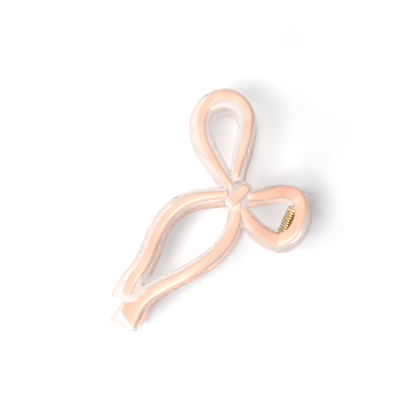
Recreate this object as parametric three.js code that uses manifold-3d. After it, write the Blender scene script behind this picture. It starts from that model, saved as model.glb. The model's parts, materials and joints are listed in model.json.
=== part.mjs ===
// A bow-shaped claw clip for hair, lying on the knot of its rear jaw. Millimetres, +Z up.
// Two mirrored jaws turn on one pin. Each jaw is a clear moulded shell, a ribbon bow of two loops and two
// tails, with a coloured core inlaid along every ribbon and a wrap with its own core over the knot.
// The shells are laid out flat as ribbon paths and lifted onto a curved profile that bulges over the hair.
import * as THREE from "three";
import { mergeVertices } from "three/addons/utils/BufferGeometryUtils.js";
import Module from "manifold-3d";

const wasm = await Module();
wasm.setup();

// ---- Driving dimensions. x runs along the hinge towards the tails, y towards the finger tab, z out of a jaw. ----
const HALF_THICKNESS = 2.5; // of a shell ribbon, measured square to its surface
const SQUARENESS = 2.6; // exponent of the ribbon's rounded section
const CORE_CROWN = 0.4; // how far a core stands proud of its shell
const CORE_DEPTH = 2.6; // how deep a core is let into its shell
const CORE_SHOULDER = 0.35; // how far below its shell's top a core's upright sides end
const CORE_FLAT = 0.5; // share of a core's width that its crown is flat over
const FLARE = { from: 0.89, to: 0.95 }; // shares of a ribbon between which its core's end widens and slants
const TAIL_CORNER = 1.4; // rounding of a tail's corners
const SLIVER = 0.002; // corners nearer than this are one
const GAP = 0.25; // left between a piece and the seat cut for it

const HINGE = { x: 2, y: 0.9 }; // middle of the hinge, in plan
const PIN_RADIUS = 1.0;
const PIN_HEAD = { radius: 1.7, length: 0.8 };
const PIN_PLAY = 0.35; // between a pin head and the lug beside it
const LUG = { radius: 2.9, thickness: 1.3, hole: 1.25, root: 6.2 };
const LUG_INNER = 7.2; // from the hinge's middle to the inner face of a front lug
const LUG_STEP = 1.6; // from a front lug to the rear lug beside it

const WIRE = 0.9; // spring wire diameter
const COIL_RADIUS = 2.75; // to the middle of the wire
const COIL_TURNS = 11;
const COIL_PITCH = 1.13;
const LEG_LENGTH = 7.2;
const LEG_LEAN = 29; // degrees between a leg and the plane between the jaws

const KNOT = { x: 0.3, y: -23.3, length: 13.8, width: 10.8, turn: 159, height: 2.1, round: 1.1 };
const KNOT_CORE = { length: 10.2, width: 3.3, depth: 1, crown: 0.25, round: 0.12 };
const HUB = { radius: 5.0, foot: 4.0, depth: 4.2 };

// A tooth's radii, how far its tip passes the plane between the jaws, the spacing of a row, and its curve:
// bowed out towards the teeth's edge at a share of its height, with its tip hooked back towards the hinge.
const TOOTH = { root: 1.5, tip: 0.65, reach: 3.2, spacing: 7.2, bow: 2.2, bowHeight: 0.35, hook: 1.6 };

// Height of the ribbons' middle surface over the plane between the jaws, as [y, height]:
// close together at the teeth, bulging at the knot, a neck at the hinge and a flared tab.
const PROFILE = [
  [-64, -0.5],
  [-56, 4.4],
  [-50, 7.8],
  [-42, 11.4],
  [-32, 14.2],
  [-22, 15],
  [-12, 12.8],
  [-5, 8.9],
  [0, 7.4],
  [5, 9],
  [12, 14],
  [16, 17.5],
];

// Each ribbon's path in plan, with the shell's half widths spread evenly along it, left and right of its travel.
// A core has its middle that far to the left of the path, a half width, and is inset from both ends of the path.
const RIBBONS = {
  side_loop: {
    path: [
      [-1, -25.5], [-6.5, -33], [-12.3, -40.2], [-17.3, -45.8], [-24, -50.1], [-31, -50.7], [-36.6, -46.6],
      [-38, -40.3], [-34.9, -34], [-27.8, -30.4], [-19.5, -28.9], [-12, -27.9], [-5, -26],
    ],
    core: {
      middle: [0.2, 0.95, 0.9, 0.35, 0.7, 0.05, -0.25, -0.3, -0.45],
      half: [1.2, 1.5, 1.6, 2.05, 2.2, 1.95, 1.75, 1.55, 0.9],
      inset: [0.06, 0.03],
    },
    shell: { left: [2.6, 5.5, 7.4, 7.2, 4.7, 2.8, 2.7, 2.7, 2.3], right: [2.6, 2.7, 3, 4.6, 5.2, 4.8, 3] },
  },
  tab_loop: {
    path: [
      [0, -22], [-2.4, -17.5], [-5.8, -12.2], [-9, -7], [-10, -1.5], [-7, 3.6], [-1, 6],
      [5.6, 5.2], [10.2, 1.2], [11, -4.5], [9.6, -11], [6.4, -17], [2.5, -21.5],
    ],
    core: {
      middle: [0, -0.3, 0.5, 0.3, -0.5, -0.35, -0.05, 0.2, 0.2],
      half: [1.2, 1.85, 2.45, 2.5, 2.5, 2.85, 2.8, 2, 1.4],
      inset: [0.05, 0.075],
    },
    shell: { left: [2.5, 3, 3.7, 4.4, 4.8, 3.7, 2.6], right: [2.4, 2.7, 3, 3.1, 3.6, 3.4, 2.5] },
  },
  lower_tail: {
    path: [
      [0.5, -25], [3.6, -31], [8.9, -39.6], [14.2, -44.9], [21, -48], [29, -48.9], [37.5, -48.4],
      [45.5, -48.9], [52.5, -49.7], [61.2, -49],
    ],
    core: {
      middle: [0, -0.3, -0.1, 0.5, 0.65, 0.4, 0.2, -0.6, -1],
      half: [1.2, 1.5, 1.85, 2, 2.1, 1.95, 2.1, 2.4, 1.9],
      inset: [0.07, 0.035],
    },
    shell: { left: [2.8, 2.7, 2.8, 2.8, 3.4, 7], right: [2.8, 4.6, 5.4, 6, 6.6, 9.4], corner: TAIL_CORNER },
  },
  upper_tail: {
    path: [
      [1.5, -24], [6, -22.2], [11.5, -20.7], [18.5, -20.5], [25.5, -22.3], [32.6, -25.9], [39.5, -30.8],
      [46.4, -36.4], [53.2, -40.8], [60, -43.2], [71.8, -43.4],
    ],
    core: {
      middle: [0.4, 0.4, 0.35, 0.35, 0.6, 1.15, 0.95, 0.35, 0.2],
      half: [1.3, 1.9, 2.05, 1.95, 2.1, 1.95, 2.05, 2.25, 2.4],
      inset: [0.11, 0.03],
      flare: 3.3,
      slant: 0.45,
    },
    shell: {
      left: [2.8, 3.3, 3.4, 3.4, 3.4, 3.4, 2.6],
      right: [2.8, 3.1, 3.2, 3.3, 3.6, 5.6, 11],
      corner: TAIL_CORNER,
    },
  },
};

const CLEAR = new THREE.MeshStandardMaterial({ color: 0xf7e6e0, roughness: 0.08, transparent: true, opacity: 0.4 });
const PEACH = new THREE.MeshStandardMaterial({ color: 0xffc9ad, roughness: 0.25 });
const GOLD = new THREE.MeshStandardMaterial({ color: 0xc8963c, roughness: 0.25, metalness: 1 });

// ---- The curved profile ----
const profileCurve = new THREE.CatmullRomCurve3(
  PROFILE.map(([y, z]) => new THREE.Vector3(0, y, z)),
  false,
  "centripetal",
);
const profilePoints = profileCurve.getPoints(400);

function surfaceHeight(y) {
  const next = THREE.MathUtils.clamp(profilePoints.findIndex((p) => p.y > y), 1, profilePoints.length - 1);
  const [a, b] = [profilePoints[next - 1], profilePoints[next]];
  return THREE.MathUtils.mapLinear(y, a.y, b.y, a.z, b.z);
}

function surfaceNormal(y) {
  const span = 0.5;
  const slope = (surfaceHeight(y + span) - surfaceHeight(y - span)) / (2 * span);
  return new THREE.Vector3(0, -slope, 1).normalize();
}

const onSurface = (x, y) => new THREE.Vector3(x, y, surfaceHeight(y));

// ---- Solids ----
function toSolid(geometry) {
  const bare = geometry.clone();
  bare.deleteAttribute("normal");
  bare.deleteAttribute("uv");
  const merged = mergeVertices(bare, 1e-4);
  return new wasm.Manifold(
    new wasm.Mesh({
      numProp: 3,
      vertProperties: merged.attributes.position.array,
      triVerts: new Uint32Array(merged.index.array),
    }),
  );
}

// The solid as a geometry, with the slivers that the cuts leave closed up.
function toGeometry(solid) {
  const mesh = solid.getMesh();
  const raw = new THREE.BufferGeometry();
  raw.setAttribute("position", new THREE.BufferAttribute(mesh.vertProperties, 3));
  raw.setIndex(new THREE.BufferAttribute(mesh.triVerts, 1));
  const geometry = mergeVertices(raw, SLIVER);
  const corners = Array.from(geometry.index.array);
  const kept = [];
  for (let i = 0; i < corners.length; i += 3) {
    const [a, b, c] = corners.slice(i, i + 3);
    if (a !== b && b !== c && c !== a) kept.push(a, b, c);
  }
  geometry.setIndex(kept);
  return geometry;
}

const union = (solids) => solids.reduce((all, next) => all.add(next));

// A closed skin over rings of points, each ring with the same number of corners.
function skin(rings) {
  const corners = rings[0].length;
  const last = rings.length - 1;
  const positions = rings.flat().flatMap((p) => p.toArray());
  const index = [];
  for (let ring = 0; ring < last; ring++) {
    for (let i = 0; i < corners; i++) {
      const a = ring * corners + i;
      const b = ring * corners + ((i + 1) % corners);
      index.push(a, b, b + corners, a, b + corners, a + corners);
    }
  }
  for (let i = 1; i < corners - 1; i++) {
    index.push(0, i + 1, i);
    index.push(last * corners, last * corners + i, last * corners + i + 1);
  }
  const geometry = new THREE.BufferGeometry();
  geometry.setAttribute("position", new THREE.Float32BufferAttribute(positions, 3));
  geometry.setIndex(index);
  return geometry;
}

// ---- Ribbons ----
// Values given at even steps along a ribbon, read at a share t of its length.
function spread(values, t) {
  const place = t * (values.length - 1);
  const low = Math.min(Math.floor(place), values.length - 2);
  return THREE.MathUtils.lerp(values[low], values[low + 1], place - low);
}

// Where a ribbon runs at a share t of its path, with its sideways direction, surface normal and direction of travel.
function station(ribbon, t) {
  const plan = ribbon.curve.getPoint(t);
  const ahead = ribbon.curve.getTangent(t);
  const normal = surfaceNormal(plan.y);
  const slopeAlong = -(normal.y / normal.z) * ahead.y;
  const tangent = new THREE.Vector3(ahead.x, ahead.y, slopeAlong).normalize();
  return { at: onSurface(plan.x, plan.y), side: normal.clone().cross(tangent).normalize(), normal, tangent };
}

for (const ribbon of Object.values(RIBBONS)) {
  const plan = ribbon.path.map(([x, y]) => new THREE.Vector3(x, y, 0));
  ribbon.curve = new THREE.CatmullRomCurve3(plan, false, "centripetal");
}

// Sweeps a section through shares of a ribbon's path. section(t) gives [sideways, up] pairs, and slant(t) how far
// a point leads for each millimetre that it is to the left.
function sweepRibbon(ribbon, shares, section, slant = () => 0) {
  const rings = shares.map((t) => {
    const { at, side, normal, tangent } = station(ribbon, t);
    return section(t).map(([across, up]) =>
      at
        .clone()
        .addScaledVector(side, across)
        .addScaledVector(normal, up)
        .addScaledVector(tangent, across * slant(t)),
    );
  });
  return skin(rings);
}

function evenShares(ribbon, from, to) {
  const steps = 2 * (ribbon.path.length - 1);
  return Array.from({ length: steps + 1 }, (_, i) => THREE.MathUtils.lerp(from, to, i / steps));
}

// How much narrower a shell is on either side at a share t, where the corners of its end are rounded.
function cornerCut({ shell, curve }, t) {
  if (!shell.corner) return 0;
  const into = THREE.MathUtils.clamp(1 - ((1 - t) * curve.getLength()) / shell.corner, 0, 1);
  return shell.corner * (1 - Math.sqrt(1 - into * into));
}

// The shell's stations, closer together over the rounded corners of a tail.
function shellShares(ribbon) {
  const even = evenShares(ribbon, 0, 1);
  if (!ribbon.shell.corner) return even;
  const reach = ribbon.shell.corner / ribbon.curve.getLength();
  return [...even.filter((t) => t < 1 - reach), 1 - reach, 1 - 0.5 * reach, 1 - 0.15 * reach, 1];
}

// The shell's rounded section, wider on one side where the clear margin carries the teeth.
function shellSection(ribbon, t) {
  const left = spread(ribbon.shell.left, t) - cornerCut(ribbon, t);
  const right = spread(ribbon.shell.right, t) - cornerCut(ribbon, t);
  const round = (v) => Math.sign(v) * Math.abs(v) ** (2 / SQUARENESS);
  const corners = 8;
  return Array.from({ length: corners }, (_, i) => {
    const angle = (2 * Math.PI * (i + 0.5)) / corners;
    const across = round(Math.cos(angle));
    return [across * (across > 0 ? left : right), round(Math.sin(angle)) * HALF_THICKNESS];
  });
}

// How far a core has flared at a share t, from 0 to 1.
const flaredAt = (t) => THREE.MathUtils.smoothstep(t, FLARE.from, FLARE.to);

const coreSlant = (ribbon) => (t) => (ribbon.core.slant ?? 0) * flaredAt(t);

// Where a core's two sides are at a share t, left of the path being positive.
function coreSides({ core }, t) {
  const middle = spread(core.middle, t);
  const half = spread(core.half, t);
  return { left: middle + half, right: middle - half - (core.flare ?? 0) * flaredAt(t) };
}

// The core's section: a flat foot, upright sides and a low crown.
function coreSection(ribbon, t) {
  const { left, right } = coreSides(ribbon, t);
  const foot = HALF_THICKNESS - CORE_DEPTH;
  const shoulder = HALF_THICKNESS - CORE_SHOULDER;
  const crown = HALF_THICKNESS + CORE_CROWN;
  const margin = ((left - right) * (1 - CORE_FLAT)) / 2;
  return [
    [left, foot],
    [left, shoulder],
    [left - margin, crown],
    [right + margin, crown],
    [right, shoulder],
    [right, foot],
  ];
}

// The seat's section: square, a gap wider and deeper than the core, and open above.
function seatSection(ribbon, t) {
  const { left, right } = coreSides(ribbon, t);
  const foot = HALF_THICKNESS - CORE_DEPTH - GAP;
  const top = HALF_THICKNESS * 2;
  return [
    [left + GAP, foot],
    [left + GAP, top],
    [right - GAP, top],
    [right - GAP, foot],
  ];
}

const shellRibbon = (ribbon) => sweepRibbon(ribbon, shellShares(ribbon), (t) => shellSection(ribbon, t));

function coreShares(ribbon) {
  const [start, end] = ribbon.core.inset;
  return evenShares(ribbon, start, 1 - end);
}

const coreRibbon = (ribbon) =>
  sweepRibbon(ribbon, coreShares(ribbon), (t) => coreSection(ribbon, t), coreSlant(ribbon));

// The seat keeps the core's own stations, so that the gap is even, and runs a little past both its ends.
function coreSeat(ribbon) {
  const past = GAP / ribbon.curve.getLength();
  const shares = coreShares(ribbon);
  const longer = [shares[0] - past, ...shares, shares.at(-1) + past];
  return sweepRibbon(ribbon, longer, (t) => seatSection(ribbon, t), coreSlant(ribbon));
}

// ---- Teeth, rooted in the ribbon's outer margin and curving over the plane between the jaws ----
function tooth(root) {
  const tip = new THREE.Vector3(root.x, root.y + TOOTH.hook, -TOOTH.reach);
  const shoulder = new THREE.Vector3(root.x, root.y - TOOTH.bow, root.z * TOOTH.bowHeight);
  const curve = new THREE.QuadraticBezierCurve3(root, shoulder, tip);
  const steps = 3;
  const corners = 6;
  const rings = [];
  for (let i = 0; i <= steps; i++) {
    const at = curve.getPoint(i / steps);
    const along = curve.getTangent(i / steps);
    const across = new THREE.Vector3(1, 0, 0);
    const out = along.clone().cross(across).normalize();
    const radius = THREE.MathUtils.lerp(TOOTH.root, TOOTH.tip, i / steps);
    const ring = Array.from({ length: corners }, (_, k) => {
      const angle = (2 * Math.PI * k) / corners;
      return at
        .clone()
        .addScaledVector(across, radius * Math.cos(angle))
        .addScaledVector(out, radius * Math.sin(angle));
    });
    rings.push(ring);
  }
  return skin(rings);
}

// The share of a ribbon's lower stretch where it crosses a given x.
function shareAt(ribbon, x, from, to) {
  let best = from;
  for (let t = from; t <= to; t += 0.002) {
    if (Math.abs(ribbon.curve.getPoint(t).x - x) < Math.abs(ribbon.curve.getPoint(best).x - x)) best = t;
  }
  return best;
}

const TOOTH_ROWS = [
  { ribbon: RIBBONS.side_loop, edge: "left", sign: 1, from: 0.15, to: 0.48, first: -33.5, count: 3 },
  { ribbon: RIBBONS.lower_tail, edge: "right", sign: -1, from: 0.2, to: 0.95, first: 13.5, count: 6 },
];

function teeth(shift) {
  return TOOTH_ROWS.flatMap(({ ribbon, edge, sign, from, to, first, count }) =>
    Array.from({ length: count }, (_, i) => {
      const t = shareAt(ribbon, first + shift + i * TOOTH.spacing, from, to);
      const { at, side } = station(ribbon, t);
      const inset = spread(ribbon.shell[edge], t) - TOOTH.root;
      return toSolid(tooth(at.addScaledVector(side, sign * inset)));
    }),
  );
}

// ---- Hinge ----
// A lug hangs from the tab loop's inner face to the hinge line, with a hole for the pin.
function lug(x) {
  const outline = new THREE.Shape();
  outline.moveTo(-LUG.radius, LUG.root);
  outline.lineTo(-LUG.radius, 0);
  outline.absarc(0, 0, LUG.radius, Math.PI, 2 * Math.PI, false);
  outline.lineTo(LUG.radius, LUG.root);
  outline.closePath();
  outline.holes.push(new THREE.Path().absarc(0, 0, LUG.hole, 0, 2 * Math.PI, true));
  const plate = new THREE.ExtrudeGeometry(outline, { depth: LUG.thickness, bevelEnabled: false, curveSegments: 5 });
  plate.applyMatrix4(new THREE.Matrix4().makeBasis(
    new THREE.Vector3(0, 1, 0),
    new THREE.Vector3(0, 0, 1),
    new THREE.Vector3(1, 0, 0),
  ));
  plate.translate(x, HINGE.y, 0);
  return toSolid(plate);
}

function lugPair(inner) {
  return [lug(HINGE.x - inner - LUG.thickness), lug(HINGE.x + inner)];
}

function hingePin() {
  const half = LUG_INNER + LUG_STEP + LUG.thickness + PIN_PLAY;
  const pin = new THREE.LatheGeometry(
    [
      [0, -half - PIN_HEAD.length],
      [PIN_HEAD.radius, -half - PIN_HEAD.length],
      [PIN_HEAD.radius, -half],
      [PIN_RADIUS, -half],
      [PIN_RADIUS, half],
      [PIN_HEAD.radius, half],
      [PIN_HEAD.radius, half + PIN_HEAD.length],
      [0, half + PIN_HEAD.length],
    ].map(([r, z]) => new THREE.Vector2(r, z)),
    16,
  );
  return pin.rotateZ(-Math.PI / 2).translate(HINGE.x, HINGE.y, 0);
}

// The spring's wire: a leg along the rear tab, the coil round the pin, and a leg along the front tab.
class SpringPath extends THREE.Curve {
  constructor() {
    super();
    this.start = THREE.MathUtils.degToRad(-90 - LEG_LEAN);
    this.sweep = 2 * Math.PI * COIL_TURNS + THREE.MathUtils.degToRad(180 - 2 * LEG_LEAN);
    this.coilLength = Math.hypot(this.sweep * COIL_RADIUS, (this.sweep / (2 * Math.PI)) * COIL_PITCH);
    this.total = this.coilLength + 2 * LEG_LENGTH;
    this.halfWidth = ((this.sweep / (2 * Math.PI)) * COIL_PITCH) / 2;
  }
  // A point of the coil at a share of its turns, going from the rear leg's end to the front leg's end.
  onCoil(share) {
    const angle = this.start - share * this.sweep;
    return new THREE.Vector3(
      THREE.MathUtils.lerp(-this.halfWidth, this.halfWidth, share),
      Math.cos(angle) * COIL_RADIUS,
      Math.sin(angle) * COIL_RADIUS,
    );
  }
  getPoint(t) {
    const along = t * this.total - LEG_LENGTH;
    const share = THREE.MathUtils.clamp(along / this.coilLength, 0, 1);
    const point = this.onCoil(share);
    const over = along - share * this.coilLength;
    if (over !== 0) {
      const near = this.onCoil(share === 0 ? 0.0005 : 0.9995);
      const away = point.clone().sub(near).setX(0).normalize();
      point.addScaledVector(away, Math.abs(over));
    }
    return point;
  }
}

function torsionSpring() {
  const wire = new THREE.Shape().absarc(0, 0, WIRE / 2, 0, 2 * Math.PI, false);
  const path = new SpringPath();
  const spring = new THREE.ExtrudeGeometry(wire, {
    steps: 10 * COIL_TURNS,
    curveSegments: 3,
    bevelEnabled: false,
    extrudePath: path,
  });
  return spring.translate(HINGE.x, HINGE.y, 0);
}

// ---- Knot ----
const knotHeight = surfaceHeight(KNOT.y);
const knotTop = knotHeight + HALF_THICKNESS + KNOT.height;

// A bar with half-round ends, its top and bottom edges bevelled.
function roundedBar(length, width, depth, round) {
  const corner = (1 - SLIVER) * (width / 2 - round);
  const halfLength = length / 2 - round;
  const halfWidth = width / 2 - round;
  const outline = new THREE.Shape();
  outline.absarc(halfLength - corner, halfWidth - corner, corner, 0, Math.PI / 2, false);
  outline.absarc(-halfLength + corner, halfWidth - corner, corner, Math.PI / 2, Math.PI, false);
  outline.absarc(-halfLength + corner, -halfWidth + corner, corner, Math.PI, 1.5 * Math.PI, false);
  outline.absarc(halfLength - corner, -halfWidth + corner, corner, 1.5 * Math.PI, 2 * Math.PI, false);
  return new THREE.ExtrudeGeometry(outline, {
    depth: depth - 2 * round,
    bevelEnabled: round > 0,
    bevelThickness: round,
    bevelSize: round,
    bevelSegments: 1,
    curveSegments: 3,
  });
}

// Sets a bar down with its top face at a height over the plane between the jaws.
function placeAtKnot(bar, depth, round, top) {
  bar.rotateZ(THREE.MathUtils.degToRad(KNOT.turn));
  return bar.translate(KNOT.x, KNOT.y, top - depth + round);
}

function hub() {
  const post = new THREE.CylinderGeometry(HUB.radius, HUB.foot, HUB.depth, 10);
  post.rotateX(Math.PI / 2);
  return toSolid(post.translate(KNOT.x, KNOT.y, knotHeight));
}

// ---- Jaw pieces, modelled for the front jaw; the rear jaw is their mirror image ----
function shell(lugInner, toothShift) {
  const ribbons = Object.values(RIBBONS);
  const body = union([
    ...ribbons.map((ribbon) => toSolid(shellRibbon(ribbon))),
    hub(),
    ...teeth(toothShift),
    ...lugPair(lugInner),
  ]);
  const seats = union(ribbons.map((ribbon) => toSolid(coreSeat(ribbon))));
  return body.subtract(seats);
}

// Everything under the wrap, grown by the gap, for cutting the wrap's seat.
function underWrap() {
  const grown = (ribbon) =>
    sweepRibbon(ribbon, shellShares(ribbon), (t) =>
      shellSection(ribbon, t).map(([across, up]) => [
        across + Math.sign(across) * GAP,
        up + Math.sign(up) * (up > 0 ? GAP + CORE_CROWN : GAP),
      ]),
    );
  const post = new THREE.CylinderGeometry(HUB.radius + GAP, HUB.radius + GAP, HUB.depth + 2 * GAP, 10);
  post.rotateX(Math.PI / 2);
  const around = toSolid(post.translate(KNOT.x, KNOT.y, knotHeight));
  return union([...Object.values(RIBBONS).map((ribbon) => toSolid(grown(ribbon))), around]);
}

function knotWrap() {
  const depth = KNOT.height + HALF_THICKNESS;
  const block = roundedBar(KNOT.length, KNOT.width, depth, KNOT.round);
  const seatDepth = 2 * KNOT_CORE.depth;
  const seat = roundedBar(KNOT_CORE.length + 2 * GAP, KNOT_CORE.width + 2 * GAP, seatDepth, 0);
  const cut = toSolid(placeAtKnot(block, depth, KNOT.round, knotTop))
    .subtract(underWrap())
    .subtract(toSolid(placeAtKnot(seat, seatDepth, 0, knotTop + KNOT_CORE.depth)));
  return cut.decompose().sort((a, b) => b.volume() - a.volume())[0];
}

function knotCore() {
  const depth = KNOT_CORE.depth - GAP + KNOT_CORE.crown;
  const bar = roundedBar(KNOT_CORE.length, KNOT_CORE.width, depth, KNOT_CORE.round);
  return toSolid(placeAtKnot(bar, depth, KNOT_CORE.round, knotTop + KNOT_CORE.crown));
}

// ---- Assembly ----
const clip = new THREE.Group();

function addMesh(name, geometry, material) {
  const mesh = new THREE.Mesh(geometry, material);
  mesh.name = name;
  clip.add(mesh);
}

const mirror = (solid) => solid.mirror([0, 0, 1]);
const JAWS = [
  { jaw: "front", turn: (solid) => solid, lugInner: LUG_INNER, toothShift: 0 },
  { jaw: "rear", turn: mirror, lugInner: LUG_INNER + LUG_STEP, toothShift: TOOTH.spacing / 2 },
];

for (const { jaw, turn, lugInner, toothShift } of JAWS) {
  addMesh(`${jaw}_shell`, toGeometry(turn(shell(lugInner, toothShift))), CLEAR);
  for (const [name, ribbon] of Object.entries(RIBBONS)) {
    addMesh(`${jaw}_${name}_core`, toGeometry(turn(toSolid(coreRibbon(ribbon)))), PEACH);
  }
  addMesh(`${jaw}_knot_wrap`, toGeometry(turn(knotWrap())), CLEAR);
  addMesh(`${jaw}_knot_core`, toGeometry(turn(knotCore())), PEACH);
}
addMesh("hinge_pin", hingePin(), GOLD);
addMesh("torsion_spring", torsionSpring(), GOLD);

// The origin is under the middle of the clip, on the surface that it lies on.
const box = new THREE.Box3().setFromObject(clip);
const middle = box.getCenter(new THREE.Vector3());
clip.position.set(-middle.x, -middle.y, -box.min.z);

export default clip;
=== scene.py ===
"""A bow-shaped claw clip for hair: clear moulded jaws, opaque bands, a brass torsion spring and a stage.

Lengths in the tables below are millimetres in the clip's own axes: x along the hinge towards the tails,
y from the teeth towards the finger tab, z out of the front jaw, with z = 0 in the plane between the jaws.
"""

import json
import math

import bmesh
import bpy
import numpy as np
from mathutils import Matrix, Vector


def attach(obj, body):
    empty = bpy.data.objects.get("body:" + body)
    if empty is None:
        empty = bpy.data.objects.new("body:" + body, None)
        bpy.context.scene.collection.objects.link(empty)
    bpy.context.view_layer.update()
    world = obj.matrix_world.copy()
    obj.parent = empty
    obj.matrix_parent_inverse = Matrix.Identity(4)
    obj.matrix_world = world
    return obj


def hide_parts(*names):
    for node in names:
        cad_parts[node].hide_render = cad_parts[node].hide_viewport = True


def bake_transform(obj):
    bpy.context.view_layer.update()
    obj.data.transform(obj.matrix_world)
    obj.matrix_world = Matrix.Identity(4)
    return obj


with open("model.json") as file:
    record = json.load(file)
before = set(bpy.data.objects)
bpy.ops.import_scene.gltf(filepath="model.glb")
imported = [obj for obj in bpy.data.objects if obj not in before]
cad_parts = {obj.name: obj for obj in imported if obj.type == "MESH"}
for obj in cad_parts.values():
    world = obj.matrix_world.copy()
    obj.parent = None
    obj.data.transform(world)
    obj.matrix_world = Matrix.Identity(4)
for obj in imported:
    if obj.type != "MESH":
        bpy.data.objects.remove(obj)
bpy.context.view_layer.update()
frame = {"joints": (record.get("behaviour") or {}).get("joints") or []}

bl_info = {
    "name": "Claw Clip",
    "version": (1, 0, 0),
    "blender": (4, 5, 0),
    "location": "View3D > Sidebar > Claw Clip",
    "description": "Builds a bow-shaped claw clip for hair around its jaws, hinge and spring",
    "category": "Add Mesh",
}

MM = 0.001

# ---- The clip's axes in the frame ----
HINGE = Vector(next(joint for joint in frame["joints"] if joint["name"] == "jaw_hinge")["pos_m"])
HINGE_IN_PLAN = Vector((2.0, 0.9, 0.0))
ORIGIN = HINGE - HINGE_IN_PLAN * MM
JAWS = ("front", "rear")

# ---- The bow ----
# Height of the ribbons' middle surface over the plane between the jaws, as (y, height).
PROFILE = (
    (-64, -0.5), (-56, 4.4), (-50, 7.8), (-42, 11.4), (-32, 14.2), (-22, 15),
    (-12, 12.8), (-5, 8.9), (0, 7.4), (5, 9), (12, 14), (16, 17.5),
)

# Each ribbon's path in plan, half widths spread evenly along it, left and right of its travel, and how far
# the corners of its free end are rounded. A band is the opaque core let into a ribbon: how far its middle
# lies to the left, its half width, the shares of the path left bare at its two ends, how far its ends are
# rounded, and how much wider and how slanted its far end flares.
RIBBONS = {
    "side_loop": {
        "path": (
            (-1, -25.5), (-6.5, -33), (-12.3, -40.2), (-17.3, -45.8), (-24, -50.1),
            (-31, -50.7), (-36.6, -46.6), (-38, -40.3), (-34.9, -34), (-27.8, -30.4),
            (-19.5, -28.9), (-12, -27.9), (-5, -26),
        ),
        "left": (2.6, 5.5, 7.4, 7.2, 4.7, 2.8, 2.7, 2.7, 2.3),
        "right": (2.6, 2.7, 3, 4.6, 5.2, 4.8, 3),
        "band_middle": (0.2, 0.95, 0.9, 0.35, 0.7, 0.05, -0.25, -0.3, -0.45),
        "band_half": (1.25, 1.6, 1.7, 2.15, 2.3, 2.05, 1.85, 1.65, 1.0),
        "trim": (0.02, 0.015),
        "round_end": (0.0, 2.0),
        "flare": 0.0,
        "slant": 0.0,
        "corner": 0.0,
    },
    "tab_loop": {
        "path": (
            (0, -22), (-2.4, -17.5), (-5.8, -12.2), (-9, -7), (-10, -1.5), (-7, 3.6), (-1, 6),
            (5.6, 5.2), (10.2, 1.2), (11, -4.5), (9.6, -11), (6.4, -17), (2.5, -21.5),
        ),
        "left": (2.5, 3, 3.7, 4.4, 4.8, 3.7, 2.6),
        "right": (2.4, 2.7, 3, 3.1, 3.6, 3.4, 2.5),
        "band_middle": (0, -0.3, 0.5, 0.3, -0.5, -0.35, -0.05, 0.2, 0.2),
        "band_half": (1.25, 1.9, 2.5, 2.6, 2.6, 2.9, 2.85, 2.1, 1.5),
        "trim": (0.03, 0.03),
        "round_end": (1.0, 1.0),
        "flare": 0.0,
        "slant": 0.0,
        "corner": 0.0,
    },
    "lower_tail": {
        "path": (
            (0.5, -25), (3.6, -31), (8.9, -39.6), (14.2, -44.9), (21, -48), (29, -48.9), (37.5, -48.4),
            (45.5, -48.9), (52.5, -49.7), (61.2, -49),
        ),
        "left": (2.8, 2.7, 2.8, 2.8, 3.4, 7),
        "right": (2.8, 4.6, 5.4, 6, 6.6, 9.4),
        "band_middle": (0, -0.3, -0.1, 0.5, 0.65, 0.4, 0.2, -0.6, -1.0),
        "band_half": (1.25, 1.6, 1.95, 2.1, 2.2, 2.05, 2.2, 2.45, 2.0),
        "trim": (0.05, 0.035),
        "round_end": (0.0, 1.6),
        "flare": 0.0,
        "slant": 0.0,
        "corner": 1.4,
    },
    "upper_tail": {
        "path": (
            (1.5, -24), (6, -22.2), (11.5, -20.7), (18.5, -20.5), (25.5, -22.3), (32.6, -25.9),
            (39.5, -30.8), (46.4, -36.4), (53.2, -40.8), (60, -43.2), (71.8, -43.4),
        ),
        "left": (2.8, 3.3, 3.4, 3.4, 3.4, 3.4, 2.6),
        "right": (2.8, 3.1, 3.2, 3.3, 3.6, 5.6, 11),
        "band_middle": (0.4, 0.4, 0.35, 0.35, 0.6, 1.15, 0.95, 0.35, 0.2),
        "band_half": (1.4, 2.0, 2.15, 2.1, 2.25, 2.2, 2.3, 2.4, 2.5),
        "trim": (0.05, 0.02),
        "round_end": (0.0, 1.4),
        "flare": 3.8,
        "slant": 0.45,
        "corner": 1.4,
    },
}

# Shares of a ribbon's path at which it has a station, closer together towards the rounded corners of its end.
RIBBON_SHARES = np.concatenate([np.linspace(0, 0.95, 104), np.linspace(0.955, 1, 30)])
BAND_STATIONS = 170
SIDE_POINTS = 32  # round a ribbon's section
FLARE_FROM = 0.89  # share of the path at which a band's end begins to flare
FLARE_RUN = 0.06  # share of the path over which it grows
BLUNTEST_END = 0.05  # least size of a rounded end, as a share of the full size

# Rows of teeth: the ribbon and edge that they stand on, the stretch of it, the x of the first and how many.
TOOTH_ROWS = (
    {"ribbon": "side_loop", "edge": "left", "sign": 1, "shares": (0.15, 0.48), "first": -33.5, "count": 3},
    {"ribbon": "lower_tail", "edge": "right", "sign": -1, "shares": (0.2, 0.95), "first": 13.5, "count": 6},
)
TOOTH_SPACING = 7.2
TOOTH_SHIFT = {"front": 0.0, "rear": TOOTH_SPACING / 2}

TOOTH_BOW = 2.2
TOOTH_HOOK = 1.6

# ---- The hinge ----
LUG_INNER = {"front": 7.2, "rear": 8.8}  # from the hinge's middle to each jaw's lugs
BORE_RADIUS = 1.25
BORE_REACH = 14  # each way from the hinge's middle
HEAD_RADIUS = 1.7
HEAD_THICKNESS = 0.8
HEAD_EASE = 0.25
HEAD_PLAY = 0.35  # between the rear lugs and the pin's heads
WIRE_POINTS = 620  # along the spring
ROUND_CORNERS = 16  # round a tooth or the spring's wire

# ---- The knot ----
KNOT_CENTRE = (0.3, -23.3)
KNOT_TURN = 159.0  # degrees from the hinge's direction
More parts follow.
